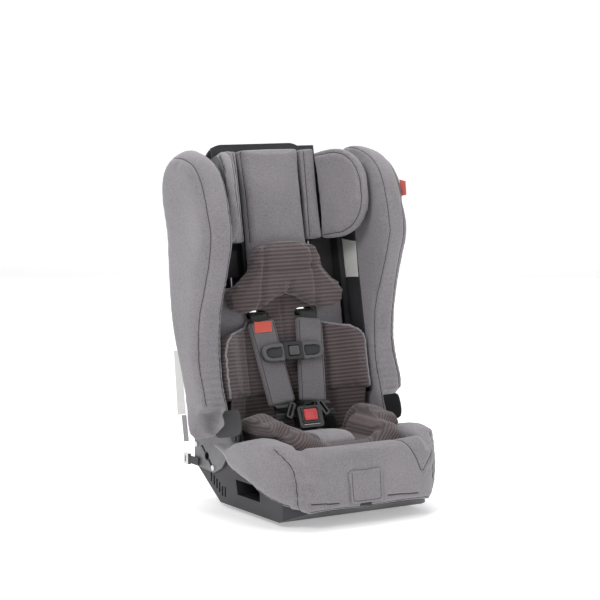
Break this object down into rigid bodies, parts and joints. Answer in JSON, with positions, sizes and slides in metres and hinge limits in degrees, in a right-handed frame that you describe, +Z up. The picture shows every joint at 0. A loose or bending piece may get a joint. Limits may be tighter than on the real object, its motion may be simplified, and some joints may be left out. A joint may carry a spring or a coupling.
{
  "type": "convertible car seat",
  "caption": "Convertible child car seat with folding backrest, padded side wings, sliding headrest, infant inserts and a five-point harness.",
  "frame": {"origin": "on the floor under the middle of the base, level with the front of the rear heel", "axes": "+X to the right of someone facing the seat's front, +Y towards the back, +Z up"},
  "size_m": [0.472, 0.4471, 0.7022],
  "materials": {
    "base_plastic": "fine grained",
    "grey_steel": "satin powder coat",
    "black_steel": "satin powder coat",
    "zinc_bolts": "zinc plated",
    "bright_rods": "polished",
    "plated_steel": "plated",
    "shell_plastic": "moulded",
    "grey_cover": "heather weave",
    "brown_insert": "ribbed knit",
    "webbing": "woven webbing",
    "buckle_plastic": "satin",
    "red_button": "satin",
    "grey_button": "moulded",
    "lever_steel": "plated"
  },
  "bodies": {
    "seat": {"base_shell": "base_plastic", "side_plate_left": "grey_steel", "side_plate_right": "grey_steel", "cross_tubes": "black_steel", "frame_bolts": "zinc_bolts", "fold_pins": "zinc_bolts", "seat_pan": "shell_plastic", "seat_pad": "grey_cover", "front_apron": "grey_cover", "thigh_bolster_left": "grey_cover", "thigh_bolster_right": "grey_cover", "infant_seat_cushion": "brown_insert", "crotch_strap": "webbing", "crotch_pad": "grey_cover", "buckle_body": "buckle_plastic", "lap_strap_left": "webbing", "lap_strap_right": "webbing", "adjuster_housing": "base_plastic", "adjuster_strap": "webbing"},
    "back": {"back_shell": "shell_plastic", "back_rail_left": "black_steel", "back_rail_right": "black_steel", "back_top_bar": "black_steel", "hinge_arm_left": "black_steel", "hinge_arm_right": "black_steel", "side_wing_left": "grey_cover", "side_wing_right": "grey_cover", "back_pad": "grey_cover", "infant_back_cushion": "brown_insert", "shoulder_strap_left": "webbing", "shoulder_strap_right": "webbing", "shoulder_pad_left": "grey_cover", "shoulder_pad_right": "grey_cover", "splitter_plate": "plated_steel"},
    "headrest": {"headrest_shell": "shell_plastic", "headrest_rods": "bright_rods", "headrest_pad": "grey_cover", "headrest_gusset_left": "grey_cover", "headrest_gusset_right": "grey_cover", "ear_pad_left": "grey_cover", "ear_pad_right": "grey_cover", "head_cushion": "brown_insert"},
    "headrest_lever": {"headrest_release": "base_plastic"},
    "chest_clip": {"clip_receiver": "buckle_plastic"},
    "chest_clip_tongue": {"clip_tongue": "buckle_plastic"},
    "chest_clip_button": {"clip_button": "grey_button"},
    "release_button": {"buckle_button": "red_button"},
    "tongue_right": {"buckle_tongue_right": "buckle_plastic"},
    "tongue_left": {"buckle_tongue_left": "buckle_plastic"},
    "strap_release": {"adjuster_lever": "lever_steel"},
    "strap_flap": {"adjuster_flap": "grey_cover"},
    "foot": {"recline_foot": "base_plastic"},
    "anchor_right": {"anchor_strap_right": "webbing", "anchor_hook_right": "plated_steel"},
    "anchor_left": {"anchor_strap_left": "webbing", "anchor_hook_left": "plated_steel"}
  },
  "joints": [
    {"name": "back_fold", "type": "hinge", "parent": "seat", "child": "back", "pos_m": [0, -0.075, 0.14], "axis": [1, 0, 0], "range_deg": [0, 70], "deforming": ["shoulder_strap_left", "shoulder_strap_right", "shoulder_pad_left", "shoulder_pad_right"]},
    {"name": "headrest_height", "type": "slide", "parent": "back", "child": "headrest", "axis": [0, 0.1908, 0.9816], "range_m": [0, 0.12]},
    {"name": "headrest_lever_pull", "type": "hinge", "parent": "headrest", "child": "headrest_lever", "pos_m": [0, 0.10798, 0.68306], "axis": [1, 0, 0], "range_deg": [0, 15], "stiffness_Nm_per_rad": 0.4, "springref_deg": -5.73},
    {"name": "chest_clip_slide", "type": "slide", "parent": "back", "child": "chest_clip", "axis": [0, 0.2957, 0.9553], "range_m": [-0.03, 0.03]},
    {"name": "chest_clip_open", "type": "slide", "parent": "chest_clip", "child": "chest_clip_tongue", "axis": [-1, 0, 0], "range_m": [0, 0.03]},
    {"name": "chest_clip_press", "type": "slide", "parent": "chest_clip", "child": "chest_clip_button", "axis": [0, 0.9553, -0.2957], "range_m": [0, 0.002], "stiffness_N_per_m": 400, "springref_m": -0.001},
    {"name": "buckle_press", "type": "slide", "parent": "seat", "child": "release_button", "axis": [0, 0.9272, -0.3746], "range_m": [0, 0.004], "stiffness_N_per_m": 600, "springref_m": -0.002},
    {"name": "tongue_right_out", "type": "slide", "parent": "seat", "child": "tongue_right", "axis": [0.866, 0.1873, 0.4636], "range_m": [0, 0.02], "deforming": ["lap_strap_right"]},
    {"name": "tongue_left_out", "type": "slide", "parent": "seat", "child": "tongue_left", "axis": [-0.866, 0.1873, 0.4636], "range_m": [0, 0.02], "deforming": ["lap_strap_left"]},
    {"name": "strap_release_press", "type": "hinge", "parent": "seat", "child": "strap_release", "pos_m": [-0.014, -0.284, 0.07], "axis": [1, 0, 0], "range_deg": [0, 20], "stiffness_Nm_per_rad": 0.05, "springref_deg": -11.46},
    {"name": "flap_lift", "type": "hinge", "parent": "seat", "child": "strap_flap", "pos_m": [-0.014, -0.3008, 0.098], "axis": [-1, 0, 0], "range_deg": [0, 85]},
    {"name": "foot_swing", "type": "hinge", "parent": "seat", "child": "foot", "pos_m": [0, -0.218, 0.013], "axis": [-1, 0, 0], "range_deg": [0, 60]},
    {"name": "anchor_right_swing", "type": "hinge", "parent": "seat", "child": "anchor_right", "pos_m": [0.1737, 0.069, 0.07], "axis": [1, 0, 0], "range_deg": [-60, 25]},
    {"name": "anchor_left_swing", "type": "hinge", "parent": "seat", "child": "anchor_left", "pos_m": [-0.1737, 0.069, 0.07], "axis": [1, 0, 0], "range_deg": [-60, 25]}
  ]
}
